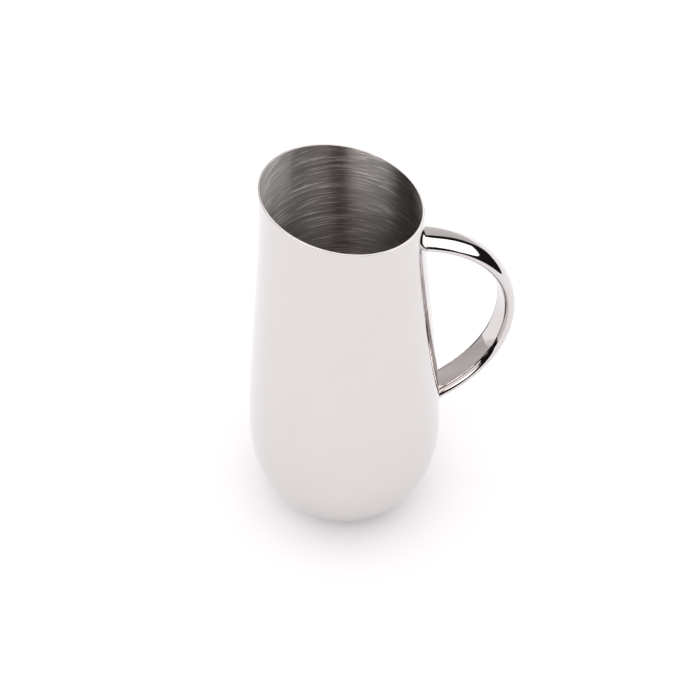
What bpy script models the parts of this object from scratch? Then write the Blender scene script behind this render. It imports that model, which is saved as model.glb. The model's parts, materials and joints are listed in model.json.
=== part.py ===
"""Polished steel water pitcher: spun body, welded base disc and hollow strap handle.

Run with: blender --background --python part.py
Units are metres and +Z is up. The origin is the centre of the base, on the table. The handle is on
the +X side, below the low side of the slanted mouth, and the pouring side of the mouth faces -X.
"""
import math

import bmesh
import bpy

# Body: a spheroid bowl below the belly and a slow taper from the belly to the mouth.
BELLY_R = 0.054            # largest outer radius
BELLY_Z = 0.0513           # height of the largest radius
BOWL_DEPTH = 0.0617        # vertical half axis of the spheroid that the bowl is part of
BELLY_HOLD = 0.0441        # how far the belly keeps to the vertical before it tapers
NECK_R = 0.04205           # outer radius at the mouth
NECK_HOLD = 0.0459         # how far the neck keeps to the vertical below the mouth
RIM_Z = 0.2295             # height of the mouth's centre
MOUTH_SLOPE = math.radians(12.4)    # slant of the mouth, low towards the handle
WALL = 0.001               # sheet thickness of the body

# Foot and base disc
FOOT_LIFT = 0.0014         # height at which the bowl starts to round into the foot
FOOT_LAND = 0.0035         # flat ring of the body that stands on the table
DISC_THICK = 0.001         # sheet thickness of the base disc
BASE_BEAD_R = 0.0007       # radius of the weld bead inside the base
BASE_BEAD_SIDES = 8

# Handle: a hollow strap, flat towards the fingers and domed on its outer side.
STRAP_W = 0.018            # overall width
STRAP_FLAT_W = 0.0131      # width of the flat inner face
STRAP_DOME = 0.0042        # half height of the ellipse that the domed section is part of
STRAP_WALL = 0.001         # sheet thickness of the domed shell and of the flat strip
UPPER_DROP = 0.0364        # upper joint, below the low side of the mouth
HANDLE_SPAN = 0.1166       # from the upper joint down to the lower one
HANDLE_STANDOFF = 0.037    # flat inner face beyond the belly, at its furthest
APEX_DROP = 0.0618         # furthest point of the handle, below the upper joint
UPPER_ANGLE = math.radians(22.1)    # downwards from level, where the handle leaves the neck
LOWER_ANGLE = math.radians(22.8)    # upwards from level, where it leaves the bowl
UPPER_PULL = 0.0292        # lengths of the handle curve's control arms, which give it the same
LOWER_PULL = 0.036         # curvature on both sides of its furthest point
APEX_PULL_UP = 0.0279
APEX_PULL_DOWN = 0.013

# Joints
PLATE_THICK = 0.0015       # weld plates closing the ends of the hollow handle
BEAD_SIZE = 0.0008         # weld beads round the ends of the handle
GAP = 0.0003               # clearance between neighbouring pieces

# Mesh density
TURN_STEPS = 48
BOWL_POINTS = 10
FOOT_POINTS = 3
TAPER_POINTS = 10
SECTION_POINTS = 12
CURVE_STEPS = 11

# Building aids
RUN_IN = 0.012             # length of handle that starts inside the body and is trimmed off
TRIM_MARGIN = 0.02         # how far the body is turned above the mouth before the slant is cut
BLADE_SIZE = 4 * BELLY_R   # the block that cuts the mouth
MERGE = 0.00001            # vertices closer than this are joined
CREASE = math.radians(30)  # edges sharper than this are shaded as creases

POLISHED = ((0.83, 0.81, 0.80), 0.05)
BRUSHED = ((0.52, 0.51, 0.50), 0.32)
RAW_STEEL = ((0.45, 0.44, 0.43), 0.40)


def clear_scene():
    for old in list(bpy.data.objects):
        bpy.data.objects.remove(old, do_unlink=True)


def new_collection(name):
    made = bpy.data.collections.new(name)
    bpy.context.scene.collection.children.link(made)
    return made


def steel(name, finish):
    colour, roughness = finish
    made = bpy.data.materials.new(name)
    made.use_nodes = True
    shader = made.node_tree.nodes["Principled BSDF"]
    shader.inputs["Base Color"].default_value = (*colour, 1.0)
    shader.inputs["Metallic"].default_value = 1.0
    shader.inputs["Roughness"].default_value = roughness
    return made


def add_object(name, data, collection):
    made = bpy.data.objects.new(name, data)
    collection.objects.link(made)
    return made


def as_cutter(obj):
    obj.hide_render = True
    obj.display_type = "WIRE"
    return obj


def bezier(start, arm_out, arm_in, end, steps):
    """Points of one cubic curve in the (radius, height) plane, both ends included."""
    points = []
    for i in range(steps + 1):
        t = i / steps
        weights = ((1 - t) ** 3, 3 * (1 - t) ** 2 * t, 3 * (1 - t) * t ** 2, t ** 3)
        corners = (start, arm_out, arm_in, end)
        points.append(tuple(sum(w * c[k] for w, c in zip(weights, corners)) for k in (0, 1)))
    return points


# ---------------------------------------------------------------- body profile
def mouth_top():
    """Highest point of the slanted mouth."""
    return RIM_Z + NECK_R * math.tan(MOUTH_SLOPE)


def mouth_low():
    return RIM_Z - NECK_R * math.tan(MOUTH_SLOPE)


def bowl_point(angle):
    """A point of the bowl; the angle is 0 at the belly and grows towards the foot."""
    return (BELLY_R * math.cos(angle), BELLY_Z - BOWL_DEPTH * math.sin(angle))


def foot_corner():
    """The bowl's last point, the corner that its tangent makes with the table, and the land."""
    angle = math.asin((BELLY_Z - FOOT_LIFT) / BOWL_DEPTH)
    last = bowl_point(angle)
    run = FOOT_LIFT * BELLY_R * math.sin(angle) / (BOWL_DEPTH * math.cos(angle))
    corner = (last[0] - run, 0.0)
    reach = math.hypot(run, FOOT_LIFT)
    return angle, last, corner, (corner[0] - reach, 0.0)


def outer_profile():
    """Outer side of the body as (radius, height), from above the mouth down to the land."""
    top = (NECK_R, mouth_top())
    taper = bezier(top, (NECK_R, top[1] - NECK_HOLD), (BELLY_R, BELLY_Z + BELLY_HOLD),
                   (BELLY_R, BELLY_Z), TAPER_POINTS)
    last_angle, last, corner, land = foot_corner()
    bowl = [bowl_point(last_angle * i / BOWL_POINTS) for i in range(1, BOWL_POINTS + 1)]
    foot = bezier(last, corner, corner, land, FOOT_POINTS)[1:]
    return [(NECK_R, top[1] + TRIM_MARGIN)] + taper + bowl + foot


def disc_opening():
    return foot_corner()[3][0] - FOOT_LAND


def offset(profile, distance):
    """The profile moved outwards by distance, or inwards where distance is negative."""
    moved = []
    for i, (r, z) in enumerate(profile):
        before = profile[max(i - 1, 0)]
        after = profile[min(i + 1, len(profile) - 1)]
        dr, dz = after[0] - before[0], after[1] - before[1]
        length = math.hypot(dr, dz)
        moved.append((r - distance * dz / length, z + distance * dr / length))
    return moved


def body_radius(height):
    """Outer radius of the body at a height."""
    profile = outer_profile()
    for (r_high, z_high), (r_low, z_low) in zip(profile, profile[1:]):
        if z_low <= height <= z_high:
            share = (height - z_low) / (z_high - z_low)
            return r_low + share * (r_high - r_low)
    return BELLY_R


def turned(name, profile, collection, material=None):
    """A closed (radius, height) outline, in order down its outer side, turned about the Z axis."""
    mesh = bpy.data.meshes.new(name)
    count = len(profile)
    touches_axis = profile[0][0] == 0.0
    edges = [(i, i + 1) for i in range(count - 1)]
    if not touches_axis:
        edges.append((count - 1, 0))
    mesh.from_pydata([(r, 0.0, z) for r, z in profile], edges, [])
    made = add_object(name, mesh, collection)
    screw = made.modifiers.new("Turn", "SCREW")
    screw.axis = "Z"
    screw.steps = TURN_STEPS
    screw.render_steps = TURN_STEPS
    screw.use_merge_vertices = True
    screw.merge_threshold = MERGE
    screw.use_smooth_shade = True
    if material:
        mesh.materials.append(material)
    return made


def solid_of_revolution(name, outer, collection):
    """A filled solid inside an outer side, closed on the axis at its top and bottom."""
    outline = [(0.0, outer[0][1])] + outer + [(0.0, outer[-1][1])]
    return as_cutter(turned(name, outline, collection))


def ring_shell(name, inner_gap, outer_gap, low, high, collection):
    """A turned band that wraps the body between two offsets and two heights."""
    inner = [p for p in offset(outer_profile(), inner_gap) if low <= p[1] <= high]
    outer = [p for p in offset(outer_profile(), outer_gap) if low <= p[1] <= high]
    return as_cutter(turned(name, outer + inner[::-1], collection))


def cut(obj, cutter, operation="DIFFERENCE"):
    boolean = obj.modifiers.new(operation.title(), "BOOLEAN")
    boolean.operation = operation
    boolean.solver = "EXACT"
    boolean.object = cutter


# ---------------------------------------------------------------- body pieces
def make_body(parts, cutters, material):
    outer = outer_profile()
    opening = disc_opening()
    inner = offset(outer, -WALL)
    outline = outer + [(opening, 0.0), (opening, WALL)] + inner[::-1]
    body = turned("body_shell", outline, parts, material)
    bpy.ops.mesh.primitive_cube_add(size=BLADE_SIZE)
    blade = bpy.context.object
    blade.name = "mouth_cutter"
    blade.rotation_euler = (0.0, MOUTH_SLOPE, 0.0)
    reach = BLADE_SIZE / 2
    blade.location = (reach * math.sin(MOUTH_SLOPE), 0.0, RIM_Z + reach * math.cos(MOUTH_SLOPE))
    for owner in list(blade.users_collection):
        owner.objects.unlink(blade)
    cutters.objects.link(as_cutter(blade))
    cut(body, blade)


def make_base(parts, disc_material, bead_material):
    edge = disc_opening() - GAP
    turned("base_disc", [(0.0, DISC_THICK), (edge, DISC_THICK), (edge, 0.0), (0.0, 0.0)],
           parts, disc_material)
    centre = (disc_opening(), max(WALL, DISC_THICK) + GAP + BASE_BEAD_R)
    bead = []
    for i in range(BASE_BEAD_SIDES):
        angle = math.pi / 2 - math.tau * i / BASE_BEAD_SIDES
        bead.append((centre[0] + BASE_BEAD_R * math.cos(angle),
                     centre[1] + BASE_BEAD_R * math.sin(angle)))
    turned("base_weld_ring", bead, parts, bead_material)


# ---------------------------------------------------------------- handle
def joint_heights():
    upper = mouth_low() - UPPER_DROP
    return upper, upper - HANDLE_SPAN


def handle_path(name, collection):
    """The centre line of the strap's flat inner face, from inside the neck to inside the bowl."""
    upper_z, lower_z = joint_heights()
    upper = (body_radius(upper_z), upper_z)
    lower = (body_radius(lower_z), lower_z)
    apex = (BELLY_R + HANDLE_STANDOFF, upper_z - APEX_DROP)
    out_upper = (math.cos(UPPER_ANGLE), -math.sin(UPPER_ANGLE))
    out_lower = (math.cos(LOWER_ANGLE), math.sin(LOWER_ANGLE))
    ends = []
    for joint, out, pull in ((upper, out_upper, UPPER_PULL), (lower, out_lower, LOWER_PULL)):
        buried = (joint[0] - RUN_IN * out[0], joint[1] - RUN_IN * out[1])
        arm = (joint[0] + pull * out[0], joint[1] + pull * out[1])
        ends.append((buried, joint, arm))
    upper_half = bezier(ends[0][1], ends[0][2], (apex[0], apex[1] + APEX_PULL_UP), apex, CURVE_STEPS)
    lower_half = bezier(apex, (apex[0], apex[1] - APEX_PULL_DOWN), ends[1][2], ends[1][1], CURVE_STEPS)
    points = [ends[0][0]] + upper_half + lower_half[1:] + [ends[1][0]]
    curve = bpy.data.curves.new(name, "CURVE")
    curve.dimensions = "3D"
    curve.twist_mode = "MINIMUM"
    curve.use_fill_caps = True
    line = curve.splines.new("POLY")
    line.points.add(len(points) - 1)
    for point, (r, z) in zip(line.points, points):
        point.co = (r, 0.0, z, 1.0)
    return add_object(name, curve, collection)


def dome_section(inset):
    """The strap's domed outline as (across, outwards), moved inwards all round by inset."""
    half_w, half_flat = STRAP_W / 2, STRAP_FLAT_W / 2
    lift = STRAP_DOME * math.sqrt(1 - (half_flat / half_w) ** 2)
    start = math.asin(lift / STRAP_DOME)
    points = []
    for i in range(SECTION_POINTS + 1):
        angle = -start + (math.pi + 2 * start) * i / SECTION_POINTS
        across = half_w * math.cos(angle)
        out = lift + STRAP_DOME * math.sin(angle)
        slope = (math.cos(angle) / half_w, math.sin(angle) / STRAP_DOME)
        length = math.hypot(*slope)
        points.append((across - inset * slope[0] / length, out - inset * slope[1] / length))
    return points


def sweep(name, outline, parts, cutters, material=None):
    """A closed (across, outwards) outline swept along the handle's path, as a mesh object."""
    flat = bpy.data.curves.new(name + "_section", "CURVE")
    flat.dimensions = "2D"
    line = flat.splines.new("POLY")
    line.points.add(len(outline) - 1)
    for point, (across, out) in zip(line.points, outline):
        point.co = (across, out, 0.0, 1.0)
    line.use_cyclic_u = True
    section = as_cutter(add_object(name + "_section", flat, cutters))
    path = handle_path(name + "_path", cutters)
    path.data.bevel_mode = "OBJECT"
    path.data.bevel_object = section
    bpy.context.view_layer.update()
    evaluated = path.evaluated_get(bpy.context.evaluated_depsgraph_get())
    mesh = bpy.data.meshes.new_from_object(evaluated)
    mesh.name = name
    bm = bmesh.new()
    bm.from_mesh(mesh)
    bmesh.ops.remove_doubles(bm, verts=bm.verts, dist=MERGE)
    bmesh.ops.recalc_face_normals(bm, faces=bm.faces)
    bm.to_mesh(mesh)
    bm.free()
    made = add_object(name, mesh, parts)
    made.matrix_world = path.matrix_world
    bpy.data.objects.remove(path)
    bpy.data.objects.remove(section)
    mesh.materials.clear()
    if material:
        mesh.materials.append(material)
    mesh.shade_smooth()
    mesh.set_sharp_from_angle(angle=CREASE)
    return made


def lip_inner_edge():
    """Half the width between the shell's two lips, where the flat strip sits."""
    return dome_section(STRAP_WALL)[0][0]


def make_handle(parts, cutters, material):
    body_clearance = solid_of_revolution("body_clearance", offset(outer_profile(), GAP), cutters)
    outer = dome_section(0.0)
    inner = [(across, max(out, 0.0)) for across, out in dome_section(STRAP_WALL)]
    shell = sweep("handle_outer_shell", outer + inner[::-1], parts, cutters, material)
    cut(shell, body_clearance)
    half = lip_inner_edge() - GAP
    strip_outline = [(half, 0.0), (half, STRAP_WALL), (-half, STRAP_WALL), (-half, 0.0)]
    strip = sweep("handle_inner_strip", strip_outline, parts, cutters, material)
    cut(strip, body_clearance)


def make_joints(parts, cutters, plate_material, bead_material):
    upper_z, lower_z = joint_heights()
    middle = (upper_z + lower_z) / 2
    spans = {"upper": (middle, RIM_Z + TRIM_MARGIN), "lower": (0.0, middle)}
    half, floor = lip_inner_edge() - GAP, STRAP_WALL + GAP
    above_lips = [point for point in dome_section(floor) if point[1] > 2 * floor]
    cavity = [(half, floor)] + above_lips + [(-half, floor)]
    for side, (low, high) in spans.items():
        plate = sweep(side + "_weld_plate", cavity, parts, cutters, plate_material)
        band = ring_shell(side + "_plate_band", GAP, GAP + PLATE_THICK, low, high, cutters)
        cut(plate, band, "INTERSECT")
        bead = sweep(side + "_weld_bead", dome_section(-GAP - BEAD_SIZE), parts, cutters, bead_material)
        band = ring_shell(side + "_bead_band", GAP, GAP + BEAD_SIZE, low, high, cutters)
        cut(bead, band, "INTERSECT")
        clear = as_cutter(sweep(side + "_bead_clearance", dome_section(-GAP), cutters, cutters))
        cut(bead, clear)


def build():
    clear_scene()
    parts = new_collection("water_pitcher")
    cutters = new_collection("cutters")
    polished = steel("polished_steel", POLISHED)
    brushed = steel("brushed_steel", BRUSHED)
    raw = steel("raw_steel", RAW_STEEL)
    make_body(parts, cutters, polished)
    make_base(parts, brushed, raw)
    make_handle(parts, cutters, polished)
    make_joints(parts, cutters, raw, polished)


build()
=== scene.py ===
import json
import math

import bpy
import numpy as np
from mathutils import Matrix, Vector
from mathutils.geometry import interpolate_bezier

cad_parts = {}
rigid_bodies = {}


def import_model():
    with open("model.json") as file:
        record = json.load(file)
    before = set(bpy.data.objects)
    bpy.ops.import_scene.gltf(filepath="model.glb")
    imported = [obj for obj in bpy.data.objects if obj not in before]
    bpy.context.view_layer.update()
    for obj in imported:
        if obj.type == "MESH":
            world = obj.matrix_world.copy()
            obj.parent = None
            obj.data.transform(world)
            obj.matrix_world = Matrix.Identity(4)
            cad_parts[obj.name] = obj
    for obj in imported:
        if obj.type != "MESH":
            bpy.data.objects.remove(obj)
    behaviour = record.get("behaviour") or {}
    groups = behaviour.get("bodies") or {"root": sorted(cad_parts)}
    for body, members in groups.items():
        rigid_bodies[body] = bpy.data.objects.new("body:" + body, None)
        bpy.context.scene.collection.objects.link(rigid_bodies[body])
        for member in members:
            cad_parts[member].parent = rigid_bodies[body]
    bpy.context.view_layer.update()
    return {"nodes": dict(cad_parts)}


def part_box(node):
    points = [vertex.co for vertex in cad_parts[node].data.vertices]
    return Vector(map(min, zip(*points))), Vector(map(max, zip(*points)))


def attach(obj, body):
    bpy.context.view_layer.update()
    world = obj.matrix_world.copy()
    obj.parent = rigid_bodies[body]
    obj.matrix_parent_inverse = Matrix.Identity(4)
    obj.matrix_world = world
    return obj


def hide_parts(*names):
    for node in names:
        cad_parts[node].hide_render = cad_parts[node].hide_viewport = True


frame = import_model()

# ---------------------------------------------------------------- body shell
# The body is one sheet of stainless steel, 1 mm thick, spun to a round bowl that tapers slowly to the
# mouth. Its outside is mirror polished and its inside keeps the rings that the finishing belt leaves.
# The mouth is cut on a slant, low towards the handle, and its edge is ground flat and polished.
body_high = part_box("body_shell")[1]
belly_r = body_high.x
mouth_top = body_high.z
neck_r = 0.04205
mouth_slope = math.tan(math.radians(12.4))
mouth_z = mouth_top - neck_r * mouth_slope      # height of the mouth's centre
sheet = 0.001
belly_z = 0.0513
bowl_depth = 0.0617            # half height of the spheroid that the bowl is part of
belly_hold = 0.0441            # how far belly and neck keep to the vertical
neck_hold = 0.0459
foot_lift = 0.0014             # height at which the bowl starts to round into the foot
foot_land = 0.0035             # flat ring that stands on the table
foot_steps = 9
belly_ease = 0.013             # half length over which bowl and taper run into each other
ease_reach = 0.032             # height above and below the belly within which they do
least_ease = 0.000001          # keeps the average from dividing by nothing away from the belly
bowl_samples, taper_samples = 400, 600
bowl_rows, taper_rows = 28, 64
body_turns = 384
merge_gap = 0.000001
edge_round = 0.00015
edge_steps = 3
edge_angle = math.radians(50)  # edges sharper than this are rounded
straight_h = 0.06              # rows up to this far above the belly stay level
settle_rounds = 8              # rounds for a height or reach that depends on the wall it meets


def bowl_radius(height):
    return belly_r * np.sqrt(1 - ((belly_z - height) / bowl_depth) ** 2)


def profile_table():
    """Heights and outer radii of the body above the foot, with the change of curve at the belly eased."""
    start, end = Vector((belly_r, belly_z)), Vector((neck_r, mouth_top))
    belly_arm, neck_arm = Vector((0, belly_hold)), Vector((0, -neck_hold))
    taper = np.array(interpolate_bezier(start, start + belly_arm, end + neck_arm, end, taper_samples))
    low = np.linspace(foot_lift, belly_z, bowl_samples, endpoint=False)
    heights = np.concatenate((low, taper[:, 1]))
    radii = np.concatenate((bowl_radius(low), taper[:, 0]))
    area = np.concatenate(([0], np.cumsum(np.diff(heights) * (radii[1:] + radii[:-1]) / 2)))
    away = np.clip(np.abs(heights - belly_z) / ease_reach, 0, 1)
    half = belly_ease * (1 - away ** 2) ** 2 + least_ease
    high_area = np.interp(heights + half, heights, area)
    low_area = np.interp(heights - half, heights, area)
    eased = (high_area - low_area) / (2 * half)
    return heights, np.where(away < 1, eased, radii)


table_heights, table_radii = profile_table()


def wall_radius(height):
    return float(np.interp(height, table_heights, table_radii))


def foot_points():
    """The small round between the bowl and the table, and the flat land that the body stands on."""
    angle = math.asin((belly_z - foot_lift) / bowl_depth)
    last = Vector((belly_r * math.cos(angle), foot_lift))
    run = foot_lift * belly_r * math.sin(angle) / (bowl_depth * math.cos(angle))
    corner = Vector((last.x - run, 0))
    land = Vector((corner.x - math.hypot(run, foot_lift), 0))
    curve = interpolate_bezier(land, corner, corner, last, foot_steps)
    opening = Vector((land.x - foot_land, 0))
    return [opening, opening.lerp(land, 0.5)] + curve


def deselect_all():
    for other in bpy.context.view_layer.objects:
        other.select_set(False)


def make_active(piece):
    deselect_all()
    piece.select_set(True)
    bpy.context.view_layer.objects.active = piece


def line_object(name, points):
    """A run of edges through points, to be spun or converted."""
    mesh = bpy.data.meshes.new(name)
    mesh.from_pydata(points, [(i, i + 1) for i in range(len(points) - 1)], [])
    piece = bpy.data.objects.new(name, mesh)
    bpy.context.scene.collection.objects.link(piece)
    make_active(piece)
    return piece


def spin_round(piece, turns):
    """Spins the piece's profile a full turn about the Z axis and closes it where it meets itself."""
    make_active(piece)
    bpy.ops.object.mode_set(mode="EDIT")
    bpy.ops.mesh.select_all(action="SELECT")
    bpy.ops.mesh.spin(steps=turns, angle=math.tau, center=(0, 0, 0), axis=(0, 0, 1))
    bpy.ops.mesh.select_all(action="SELECT")
    bpy.ops.mesh.remove_doubles(threshold=merge_gap)
    bpy.ops.mesh.normals_make_consistent(inside=False)
    bpy.ops.mesh.select_all(action="DESELECT")
    bpy.ops.object.mode_set(mode="OBJECT")


def apply_modifier(piece, kind, **settings):
    make_active(piece)
    modifier = piece.modifiers.new(kind.title(), kind)
    for name, value in settings.items():
        setattr(modifier, name, value)
    bpy.ops.object.modifier_apply(modifier=modifier.name)


def shade_smooth(piece, angle=math.radians(40)):
    make_active(piece)
    bpy.ops.object.shade_smooth_by_angle(angle=angle)


foot = foot_points()
bowl_span = math.asin((belly_z - foot_lift) / bowl_depth)
bowl_angles = [bowl_span * (1 - i / bowl_rows) for i in range(1, bowl_rows)]
bowl_heights = [belly_z - bowl_depth * math.sin(angle) for angle in bowl_angles]
wall_heights = bowl_heights + list(np.linspace(belly_z, mouth_top, taper_rows))
profile = [(p.x, 0, p.y) for p in foot] + [(wall_radius(z), 0, z) for z in wall_heights]
body = line_object("body", profile)
spin_round(body, body_turns)

slant_from = belly_z + straight_h   # rows above this height lean gradually to the mouth's slant
for vertex in body.data.vertices:
    if vertex.co.z > slant_from:
        around = math.atan2(vertex.co.y, vertex.co.x)
        rim = mouth_z
        for _ in range(settle_rounds):
            rim = mouth_z - wall_radius(rim) * math.cos(around) * mouth_slope
        share = (vertex.co.z - slant_from) / (mouth_top - slant_from)
        height = slant_from + share * (rim - slant_from)
        radius = wall_radius(height)
        vertex.co = (radius * math.cos(around), radius * math.sin(around), height)


class Wire:
    """A shader node's output. Sums and products of wires and numbers add Math nodes."""

    def __init__(self, tree, socket=None):
        self.tree = tree
        self.socket = socket

    def node(self, kind, settings=None, values=None, output=0):
        """Adds a node. Its settings come first, then the values or links of its sockets."""
        made = self.tree.nodes.new(kind)
        for name, value in (settings or {}).items():
            if name == "stops":
                for _ in value[2:]:
                    made.color_ramp.elements.new(0.5)
                for element, (place, colour) in zip(made.color_ramp.elements, value):
                    element.position = place
                    element.color = colour
            else:
                setattr(made, name, value)
        for name, value in (values or {}).items():
            if isinstance(value, Wire):
                self.tree.links.new(value.socket, made.inputs[name])
            else:
                made.inputs[name].default_value = value
        return Wire(self.tree, made.outputs[output])

    def math(self, operation, first, second=0.0):
        return self.node("ShaderNodeMath", {"operation": operation}, {0: first, 1: second})

    def __add__(self, other):
        return self.math("ADD", self, other)

    def __radd__(self, other):
        return self.math("ADD", other, self)

    def __sub__(self, other):
        return self.math("SUBTRACT", self, other)

    def __rsub__(self, other):
        return self.math("SUBTRACT", other, self)

    def __mul__(self, other):
        return self.math("MULTIPLY", self, other)

    def __rmul__(self, other):
        return self.math("MULTIPLY", other, self)

    def __truediv__(self, other):
        return self.math("DIVIDE", self, other)

    def __gt__(self, other):
        return self.math("GREATER_THAN", self, other)

    def __lt__(self, other):
        return self.math("LESS_THAN", self, other)


def new_material(name):
    """A metal, its node tree's wire and its shader's inputs."""
    made = bpy.data.materials.new(name)
    made.use_nodes = True
    shader = made.node_tree.nodes["Principled BSDF"]
    shader.inputs["Metallic"].default_value = 1.0
    return made, Wire(made.node_tree), shader.inputs


def connect(wire, target):
    wire.tree.links.new(wire.socket, target)


steel_light = (0.692, 0.664, 0.660, 1.0)
steel_shade = (0.668, 0.640, 0.636, 1.0)
haze_scale, marks_scale = 38.0, 900.0           # patches and marks per metre
mirror_rough, haze_rough, marks_rough = 0.02, 0.035, 0.01
marks_depth, marks_strength = 0.00005, 0.012


def polished_steel(name):
    """Buffed stainless steel: a mirror with faint haze and the finest of buffing marks."""
    made, wire, inputs = new_material(name)
    place = wire.node("ShaderNodeTexCoord", output="Object")
    haze = wire.node("ShaderNodeTexNoise", None, {"Vector": place, "Scale": haze_scale, "Detail": 3.0})
    marks = wire.node("ShaderNodeTexNoise", None, {"Vector": place, "Scale": marks_scale, "Detail": 4.0})
    colour = wire.node("ShaderNodeMix", {"data_type": "RGBA"},
                       {"Factor": haze, "A": steel_light, "B": steel_shade}, output="Result")
    connect(colour, inputs["Base Color"])
    connect(mirror_rough + haze_rough * haze + marks_rough * marks, inputs["Roughness"])
    bump = wire.node("ShaderNodeBump", None,
                     {"Strength": marks_strength, "Distance": marks_depth, "Height": marks})
    connect(bump, inputs["Normal"])
    return made


# Each layer of the brushed finish has its marks per metre along and across the rings, and its share.
ring_layers = ((55.0, 1600.0, 0.45), (40.0, 900.0, 0.35), (16.0, 350.0, 0.20))
brushed_stops = ((0.40, (0.37, 0.355, 0.345, 1.0)), (0.50, (0.45, 0.43, 0.42, 1.0)),
                 (0.62, (0.57, 0.55, 0.54, 1.0)))
scratch_colour = (0.92, 0.90, 0.89, 1.0)
scratch_from, scratch_full = 0.58, 0.64         # only the finest layer's crests are bright scratches
scratch_share = 0.65
brushed_rough, streak_rough, scratch_rough = 0.34, 0.20, 0.06
ring_depth, ring_strength = 0.00006, 0.8
scratch_height = 0.5


def brushed_steel(name):
    """Steel with fine rings brushed round the Z axis, which spread its highlights up and down."""
    made, wire, inputs = new_material(name)
    place = wire.node("ShaderNodeTexCoord", output="Object")
    side = wire.node("ShaderNodeSeparateXYZ", None, {"Vector": place})
    depth = Wire(wire.tree, side.socket.node.outputs["Y"])
    height = Wire(wire.tree, side.socket.node.outputs["Z"])
    radius = wire.math("SQRT", side * side + depth * depth)
    layers = []
    for length, fineness, _ in ring_layers:
        spot = wire.node("ShaderNodeCombineXYZ", None,
                         {"X": side * length, "Y": depth * length, "Z": (height + radius) * fineness})
        layers.append(wire.node("ShaderNodeTexNoise", None,
                                {"Vector": spot, "Scale": 1.0, "Detail": 2.0, "Roughness": 0.6}))
    parts = [share * layer for (_, _, share), layer in zip(ring_layers, layers)]
    streaks = parts[0] + parts[1] + parts[2]
    scratch = wire.node("ShaderNodeMapRange", {"clamp": True},
                        {"Value": layers[0], "From Min": scratch_from, "From Max": scratch_full})
    ground = wire.node("ShaderNodeValToRGB", {"stops": brushed_stops}, {"Fac": streaks})
    colour = wire.node("ShaderNodeMix", {"data_type": "RGBA"},
                       {"Factor": scratch_share * scratch, "A": ground, "B": scratch_colour},
                       output="Result")
    connect(colour, inputs["Base Color"])
    connect(brushed_rough + streak_rough * streaks + scratch_rough * scratch, inputs["Roughness"])
    inputs["Anisotropic"].default_value = 1.0
    inputs["Anisotropic Rotation"].default_value = 0.25
    bump = wire.node("ShaderNodeBump", None,
                     {"Strength": ring_strength, "Distance": ring_depth,
                      "Height": streaks + scratch_height * scratch})
    connect(bump, inputs["Normal"])
    return made


body.data.materials.append(polished_steel("body_polished_steel"))
body.data.materials.append(brushed_steel("body_brushed_steel"))
apply_modifier(body, "SOLIDIFY", thickness=sheet, offset=-1, use_even_offset=True, material_offset=1)
for vertex in body.data.vertices:
    lip = mouth_z - vertex.co.x * mouth_slope
    if abs(vertex.co.z - lip) < sheet / 2:
        vertex.co.z = lip
apply_modifier(body, "BEVEL", width=edge_round, segments=edge_steps, limit_method="ANGLE",
               angle_limit=edge_angle, harden_normals=True)
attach(body, "root")
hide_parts("body_shell")

# ---------------------------------------------------------------- base disc and its weld
# The bowl is left open underneath by the spinning tool. A flat disc closes it, set flush in the opening
# and welded from the inside, and the outside of the disc is turned with fine rings and a shallow step.
disc_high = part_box("base_disc")[1]
disc_r = disc_high.x
disc_thick = disc_high.z
disc_ease = 0.0001             # small chamfer round both edges of the disc
step_in = 0.004                # the turned step starts this far in from the disc's edge
step_r = disc_r - step_in
step_depth = 0.00025
disc_profile = [(0, disc_thick), (disc_r - disc_ease, disc_thick), (disc_r, disc_thick - disc_ease),
                (disc_r, disc_ease), (disc_r - disc_ease, 0), (step_r + step_depth, 0),
                (step_r, step_depth), (0, step_depth)]
disc = line_object("base_disc_turned", [(r, 0, z) for r, z in disc_profile])
spin_round(disc, body_turns)
disc.data.materials.append(brushed_steel("base_brushed_steel"))
shade_smooth(disc, math.radians(30))
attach(disc, "root")
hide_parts("base_disc")

ring_low, ring_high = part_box("base_weld_ring")
ring_bead = (ring_high.z - ring_low.z) / 2
ring_r = ring_high.x - ring_bead
bead_waves = 90                # ripples that the welder leaves round the bead
wave_depth = 0.12              # share of the bead's thickness that a ripple takes away
ring_steps, ring_sides = 720, 14
deselect_all()
bpy.ops.mesh.primitive_torus_add(major_radius=ring_r, minor_radius=ring_bead,
                                 major_segments=ring_steps, minor_segments=ring_sides,
                                 location=(0, 0, ring_low.z + ring_bead))
ring = bpy.context.object
ring.name = "base_weld_bead"
bpy.ops.object.transform_apply(location=True, rotation=True, scale=True)
for vertex in ring.data.vertices:
    around = math.atan2(vertex.co.y, vertex.co.x)
    core = Vector((ring_r * math.cos(around), ring_r * math.sin(around), ring_low.z + ring_bead))
    ripple = abs(math.sin(around * bead_waves / 2))
    vertex.co = core + (vertex.co - core) * (1 - wave_depth * (1 - ripple))


weld_stops = ((0.35, (0.36, 0.345, 0.34, 1.0)), (0.52, (0.47, 0.44, 0.40, 1.0)),
              (0.70, (0.52, 0.44, 0.34, 1.0)))
heat_scale, grain_scale = 160.0, 2500.0         # patches and grains per metre
weld_rough, grain_rough = 0.32, 0.20
grain_depth, grain_strength = 0.0001, 0.3


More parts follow.
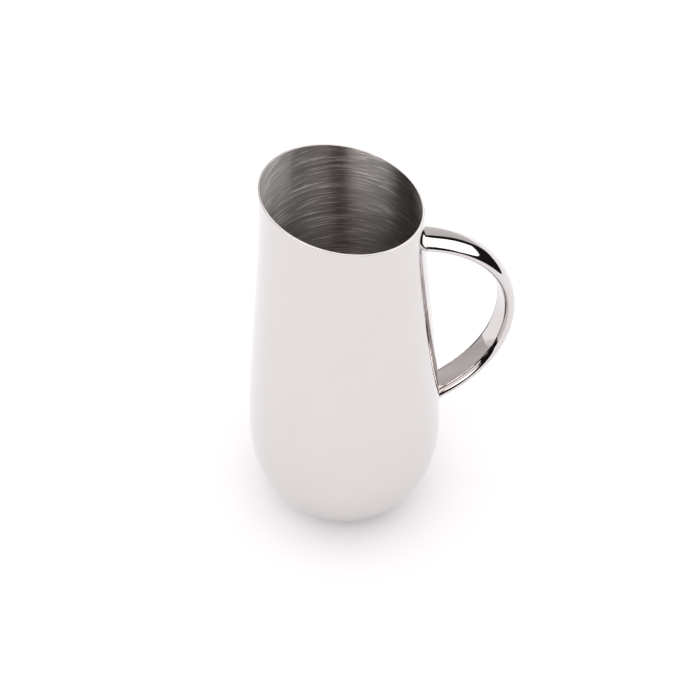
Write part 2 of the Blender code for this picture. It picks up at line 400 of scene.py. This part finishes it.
def weld_steel(name):
    """Bare weld metal, matt and a little straw coloured where it ran hot."""
    made, wire, inputs = new_material(name)
    place = wire.node("ShaderNodeTexCoord", output="Object")
    heat = wire.node("ShaderNodeTexNoise", None, {"Vector": place, "Scale": heat_scale, "Detail": 3.0})
    colour = wire.node("ShaderNodeValToRGB", {"stops": weld_stops}, {"Fac": heat})
    grain = wire.node("ShaderNodeTexNoise", None, {"Vector": place, "Scale": grain_scale, "Detail": 4.0})
    connect(colour, inputs["Base Color"])
    connect(weld_rough + grain_rough * grain, inputs["Roughness"])
    bump = wire.node("ShaderNodeBump", None,
                     {"Strength": grain_strength, "Distance": grain_depth, "Height": grain})
    connect(bump, inputs["Normal"])
    return made


ring.data.materials.append(weld_steel("base_weld_steel"))
shade_smooth(ring, math.radians(60))
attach(ring, "root")
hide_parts("base_weld_ring")

# ---------------------------------------------------------------- handle
# The handle is a hollow strap. A pressed outer shell, domed and 1 mm thick, is closed on the finger side
# by a flat strip that lies flush between the shell's two lips, so a fine line runs down each edge of the
# strip. Both are polished like the body.
strap_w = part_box("handle_outer_shell")[1].y * 2
flat_w = 0.0131                # width of the strap's flat side, between the outer edges of its lips
dome = 0.0042
strap_wall = 0.001
gap = 0.0003
joint_drop = 0.0364            # from the lowest point of the mouth down to the upper joint
span = 0.1166                  # from the upper joint down to the lower one
apex_out, apex_drop = 0.037, 0.0618             # furthest point: out from the belly, down from the joint
upper_z = mouth_z - neck_r * mouth_slope - joint_drop
lower_z = upper_z - span
apex = Vector((belly_r + apex_out, 0, upper_z - apex_drop))
upper = Vector((wall_radius(upper_z), 0, upper_z))
lower = Vector((wall_radius(lower_z), 0, lower_z))
upper_angle, lower_angle = math.radians(22.1), math.radians(22.8)
upper_out = Vector((math.cos(upper_angle), 0, -math.sin(upper_angle)))
lower_out = Vector((math.cos(lower_angle), 0, math.sin(lower_angle)))
upper_arm, lower_arm = 0.0292, 0.036            # how hard the curve pulls at the joints and at its apex
apex_arm_up, apex_arm_down = 0.0279, 0.013
path_steps = 96
outer_steps, inner_steps, bead_steps = 56, 40, 48
end_reach = 0.012              # length of strap at each end that is shaped to the wall


def dome_outline(inset, steps):
    """The strap's domed side as (across, outwards), moved inwards by inset, from lip to lip."""
    half_w, half_flat = strap_w / 2, flat_w / 2
    lift = dome * math.sqrt(1 - (half_flat / half_w) ** 2)
    start = math.asin(lift / dome)
    points = []
    for i in range(steps + 1):
        angle = -start + (math.pi + 2 * start) * i / steps
        slope = Vector((math.cos(angle) / half_w, math.sin(angle) / dome)).normalized()
        points.append(Vector((half_w * math.cos(angle), lift + dome * math.sin(angle))) - inset * slope)
    return points


def closed_curve(name, points):
    made = bpy.data.curves.new(name, "CURVE")
    made.dimensions = "2D"
    line = made.splines.new("POLY")
    line.points.add(len(points) - 1)
    for spot, (across, out) in zip(line.points, points):
        spot.co = (across, out, 0, 1)
    line.use_cyclic_u = True
    piece = bpy.data.objects.new(name, made)
    bpy.context.scene.collection.objects.link(piece)
    return piece


def reach_wall(point, along, clearance):
    """How far a point has to go along a direction to stand clearance off the body's wall."""
    moved = 0.0
    for _ in range(settle_rounds):
        spot = point + moved * along
        moved -= (math.hypot(spot.x, spot.y) - wall_radius(spot.z) - clearance) / along.x
    return moved


def strap(name, outline):
    """Sweeps a closed (across, outwards) outline along the handle and shapes its ends to the wall."""
    path = bpy.data.curves.new(name, "CURVE")
    path.dimensions = "3D"
    path.twist_mode = "MINIMUM"
    path.resolution_u = path_steps
    line = path.splines.new("BEZIER")
    line.bezier_points.add(2)
    stations = ((upper, upper - upper_arm * upper_out, upper + upper_arm * upper_out),
                (apex, apex + Vector((0, 0, apex_arm_up)), apex - Vector((0, 0, apex_arm_down))),
                (lower, lower + lower_arm * lower_out, lower - lower_arm * lower_out))
    for spot, (place, arrive, leave) in zip(line.bezier_points, stations):
        spot.handle_left_type = spot.handle_right_type = "FREE"
        spot.co, spot.handle_left, spot.handle_right = place, arrive, leave
    section = closed_curve(name + "_section", outline)
    path.bevel_mode = "OBJECT"
    path.bevel_object = section
    piece = bpy.data.objects.new(name, path)
    bpy.context.scene.collection.objects.link(piece)
    make_active(piece)
    bpy.ops.object.convert(target="MESH")
    bpy.data.objects.remove(section)
    piece = bpy.context.object
    vertices = piece.data.vertices
    count = len(outline)
    for first, along in ((0, upper_out), (len(vertices) - count, lower_out)):
        shifts = [reach_wall(vertices[first + i].co, along, gap) for i in range(count)]
        joint = upper if first == 0 else lower
        for vertex in vertices:
            distance = (vertex.co - joint).dot(along)
            near = (vertex.co - joint).length < 2 * end_reach
            if near and distance < end_reach:
                share = 1 - max(distance, 0) / end_reach
                vertex.co += shifts[(vertex.index - first) % count] * share * along
    bpy.ops.object.mode_set(mode="EDIT")
    bpy.ops.mesh.select_all(action="DESELECT")
    bpy.ops.mesh.select_non_manifold()
    bpy.ops.mesh.edge_face_add()
    bpy.ops.mesh.select_all(action="SELECT")
    bpy.ops.mesh.normals_make_consistent(inside=False)
    bpy.ops.mesh.select_all(action="DESELECT")
    bpy.ops.object.mode_set(mode="OBJECT")
    piece.data.materials.clear()
    return piece


shell_outer = dome_outline(0, outer_steps)
shell_inner = [Vector((p.x, max(p.y, 0))) for p in dome_outline(strap_wall, inner_steps)]
shell = strap("handle_shell", shell_outer + shell_inner[::-1])
shell.data.materials.append(polished_steel("handle_polished_steel"))
shade_smooth(shell)
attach(shell, "root")
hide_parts("handle_outer_shell")

strip_half = shell_inner[0].x - gap
strip_round = 0.00015
strip_outline = [Vector((strip_half, strip_round)), Vector((strip_half, strap_wall)),
                 Vector((-strip_half, strap_wall)), Vector((-strip_half, strip_round)),
                 Vector((-strip_half + strip_round, 0)), Vector((strip_half - strip_round, 0))]
strip = strap("handle_strip", strip_outline)
strip.data.materials.append(polished_steel("strip_polished_steel"))
shade_smooth(strip)
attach(strip, "root")
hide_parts("handle_inner_strip")

# ---------------------------------------------------------------- joints of the handle
# A small plate inside each end of the hollow handle takes the weld to the body. Outside, a fine bead of
# weld runs round each joint and is dressed and polished until the handle seems to grow out of the wall.
for side in ("upper", "lower"):
    plate = frame["nodes"][side + "_weld_plate"]
    plate.data.materials.clear()
    plate.data.materials.append(weld_steel(side + "_plate_steel"))

bead_r = 0.00042
bead_stand = 0.0002            # how far the bead's centre stands outside the strap
for side, joint, along in (("upper", upper, upper_out), ("lower", lower, lower_out)):
    up = Vector((-along.z, 0, along.x)) if side == "upper" else Vector((along.z, 0, -along.x))
    route = []
    for across, out in dome_outline(-bead_stand, bead_steps):
        spot = joint + Vector((0, across, 0)) + out * up
        route.append(spot + reach_wall(spot, along, gap) * along)
    curve = bpy.data.curves.new(side + "_bead", "CURVE")
    curve.dimensions = "3D"
    line = curve.splines.new("POLY")
    line.points.add(len(route) - 1)
    for spot, place in zip(line.points, route):
        spot.co = (*place, 1)
    line.use_cyclic_u = True
    curve.bevel_depth = bead_r
    curve.bevel_resolution = 4
    bead = bpy.data.objects.new(side + "_bead", curve)
    bpy.context.scene.collection.objects.link(bead)
    make_active(bead)
    bpy.ops.object.convert(target="MESH")
    bead = bpy.context.object
    bead.data.materials.append(polished_steel(side + "_bead_steel"))
    shade_smooth(bead, math.radians(60))
    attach(bead, "root")
    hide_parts(side + "_weld_bead")

# ---------------------------------------------------------------- table and light
# The pitcher stands on a strip of white paper, with a white sheet behind it and an upright soft light on
# each side. The room beyond is dark, and that is what the black bands in the polished handle show.
view_turn = math.radians(16)   # the viewer stands this far round, so that the handle points a little away
studio = Matrix.Rotation(-view_turn, 4, "Z")    # its X is the viewer's right and its Y is away
paper_half, paper_front, paper_back = 0.51, -0.34, 0.75
paper_light, paper_shade = (0.90, 0.90, 0.90, 1), (0.88, 0.88, 0.88, 1)
paper_rough, paper_shine = 0.9, 0.1
fibre_scale = 900.0
deselect_all()
bpy.ops.mesh.primitive_plane_add(size=1)
paper = bpy.context.object
paper.name = "paper"
for vertex in paper.data.vertices:
    side = math.copysign(paper_half, vertex.co.x)
    end = paper_back if vertex.co.y > 0 else paper_front
    vertex.co = studio @ Vector((side, end, 0))
white = bpy.data.materials.new("white_paper")
white.use_nodes = True
wire = Wire(white.node_tree)
paper_inputs = white.node_tree.nodes["Principled BSDF"].inputs
place = wire.node("ShaderNodeTexCoord", output="Object")
fibres = wire.node("ShaderNodeTexNoise", None, {"Vector": place, "Scale": fibre_scale, "Detail": 2.0})
tone = wire.node("ShaderNodeMix", {"data_type": "RGBA"},
                 {"Factor": fibres, "A": paper_light, "B": paper_shade}, output="Result")
connect(tone, paper_inputs["Base Color"])
paper_inputs["Roughness"].default_value = paper_rough
paper_inputs["Specular IOR Level"].default_value = paper_shine
paper.data.materials.append(white)

# Both soft lights are upright rectangles that face the pitcher. Each has its bearing from the viewer's
# right, its width and the height of its lower edge. Only what mirrors them shows them.
lamp_away, lamp_high, lamp_radiance = 0.95, 1.05, 1.9
lamp_colour = (1, 0.985, 0.97)
soft_lights = (("right_light", math.radians(9), 1.18, 0.245),
               ("left_light", math.radians(-132), 1.20, 0.26))
upright = Matrix.Rotation(math.radians(90), 4, "Z") @ Matrix.Rotation(math.radians(90), 4, "X")
for name, bearing, width, low in soft_lights:
    light = bpy.data.lights.new(name, "AREA")
    light.shape = "RECTANGLE"
    light.size, light.size_y = width, lamp_high
    light.energy = lamp_radiance * math.pi * width * lamp_high
    light.color = lamp_colour
    lamp = bpy.data.objects.new(name, light)
    bpy.context.scene.collection.objects.link(lamp)
    turned = studio @ Matrix.Rotation(bearing, 4, "Z")
    lamp.matrix_world = turned @ Matrix.Translation((lamp_away, 0, low + lamp_high / 2)) @ upright
    lamp.visible_camera = False
    lamp.visible_diffuse = False

# The room is told by the direction it is seen in: split is how far that points to the viewer's right,
# away how far back and rise how far up. A slope compares split or rise with away.
sheet_right, sheet_left = math.radians(52), math.radians(160)      # bearings where the back sheet ends
sheet_slope = 1.15             # the slope of its upper edge
sheet_glow, sheet_fade, sheet_centre = 0.92, 0.4, -0.12
slit_half, flank_half = math.radians(12), math.radians(28)         # to each side of straight in front
slit_dark = 0.97
front_slope, front_rise, front_glow = 2.2, math.radians(20), 1.5
ceiling_rise, ceiling_glow = math.radians(40), 0.12
ceiling_slope, ceiling_more = 0.8, 0.35         # towards the back the ceiling is lighter
window_rise, window_glow = math.radians(32), 1.4
window_from, window_to = 0.3, 1.2               # slopes between which a window lies, at the back right
darkness = 0.012
room_tint, flank_tint, lamp_tint = (1, 0.97, 0.96, 1), (1, 0.80, 0.77, 1), (1, 0.98, 0.992, 1)
low_sky, sky_gain = 0.76, 0.8  # what matt surfaces are lit by, near the horizon and more higher up
backdrop = 1.1                 # what the camera sees behind everything: plain white
world = bpy.data.worlds.new("studio")
bpy.context.scene.world = world
world.use_nodes = True
wire = Wire(world.node_tree)
world_inputs = world.node_tree.nodes["Background"].inputs
heading = wire.node("ShaderNodeMapping", {"vector_type": "POINT"},
                    {"Vector": wire.node("ShaderNodeTexCoord", output="Generated"),
                     "Rotation": (0, 0, view_turn)})
split = wire.node("ShaderNodeSeparateXYZ", None, {"Vector": heading})
away = Wire(wire.tree, split.socket.node.outputs["Y"])
rise = Wire(wire.tree, split.socket.node.outputs["Z"])
off_centre = wire.math("ABSOLUTE", split)
behind = (split < away * (1 / math.tan(sheet_right))) * (split > away * (1 / math.tan(sheet_left)))
fading = sheet_glow - sheet_fade * wire.math("ABSOLUTE", split - sheet_centre)
sheet_light = behind * (rise < away * sheet_slope) * fading
slit = off_centre < away * -math.tan(slit_half)
flank = off_centre < away * -math.tan(flank_half)
front = (off_centre < away * -front_slope) * (rise > math.sin(front_rise))
ceiling_light = ceiling_glow + ceiling_more * (off_centre < away * ceiling_slope)
ceiling = (rise > math.sin(ceiling_rise)) * ceiling_light
window = (rise > math.sin(window_rise)) * (split > away * window_from) * (off_centre < away * window_to)
lit = ceiling + window_glow * window + front_glow * front
room = wire.math("MAXIMUM", darkness + lit * (1 - slit_dark * slit), sheet_light)
seen = wire.node("ShaderNodeLightPath")
lighting = Wire(wire.tree, seen.socket.node.outputs["Diffuse Depth"]) > 0
sky = low_sky + sky_gain * rise
glow = room * (1 - seen - lighting) + backdrop * seen + sky * lighting
connect(glow, world_inputs["Strength"])
warm = wire.node("ShaderNodeMix", {"data_type": "RGBA"},
                 {"Factor": flank, "A": room_tint, "B": flank_tint}, output="Result")
tint = wire.node("ShaderNodeMix", {"data_type": "RGBA"},
                 {"Factor": lighting, "A": warm, "B": lamp_tint}, output="Result")
connect(tint, world_inputs["Color"])
world.cycles.sampling_method = "NONE"

# ---------------------------------------------------------------- camera
# A long lens looks down on the pitcher from the front, with the handle to the right and turned a little
# away. The view is upright except for a slight lean of the whole frame.
lens_half = math.radians(9)
elevation = math.radians(48.4)
lean = math.radians(-0.96)
aim_right, aim_up = -0.00181, 0.1213
camera_away = 1.1685
nudge = 0.000736               # the lens is shifted left and up by this share of the frame's width
aim = studio @ Vector((aim_right, 0, aim_up))
sight = studio @ Vector((0, -math.cos(elevation), math.sin(elevation)))
right = studio @ Vector((1, 0, 0))
top = right.cross(-sight)
side = math.cos(lean) * right + math.sin(lean) * top
upward = math.cos(lean) * top - math.sin(lean) * right
camera = bpy.data.cameras.new("camera")
camera.sensor_width = 36
camera.lens = camera.sensor_width / 2 / math.tan(lens_half)
camera.shift_x, camera.shift_y = -nudge, nudge
viewer = bpy.data.objects.new("camera", camera)
bpy.context.scene.collection.objects.link(viewer)
turn = Matrix((side, upward, sight)).transposed().to_4x4()
viewer.matrix_world = Matrix.Translation(aim + camera_away * sight) @ turn
bpy.context.scene.camera = viewer
bpy.context.scene.view_settings.view_transform = "Standard"

bpy.context.view_layer.update()
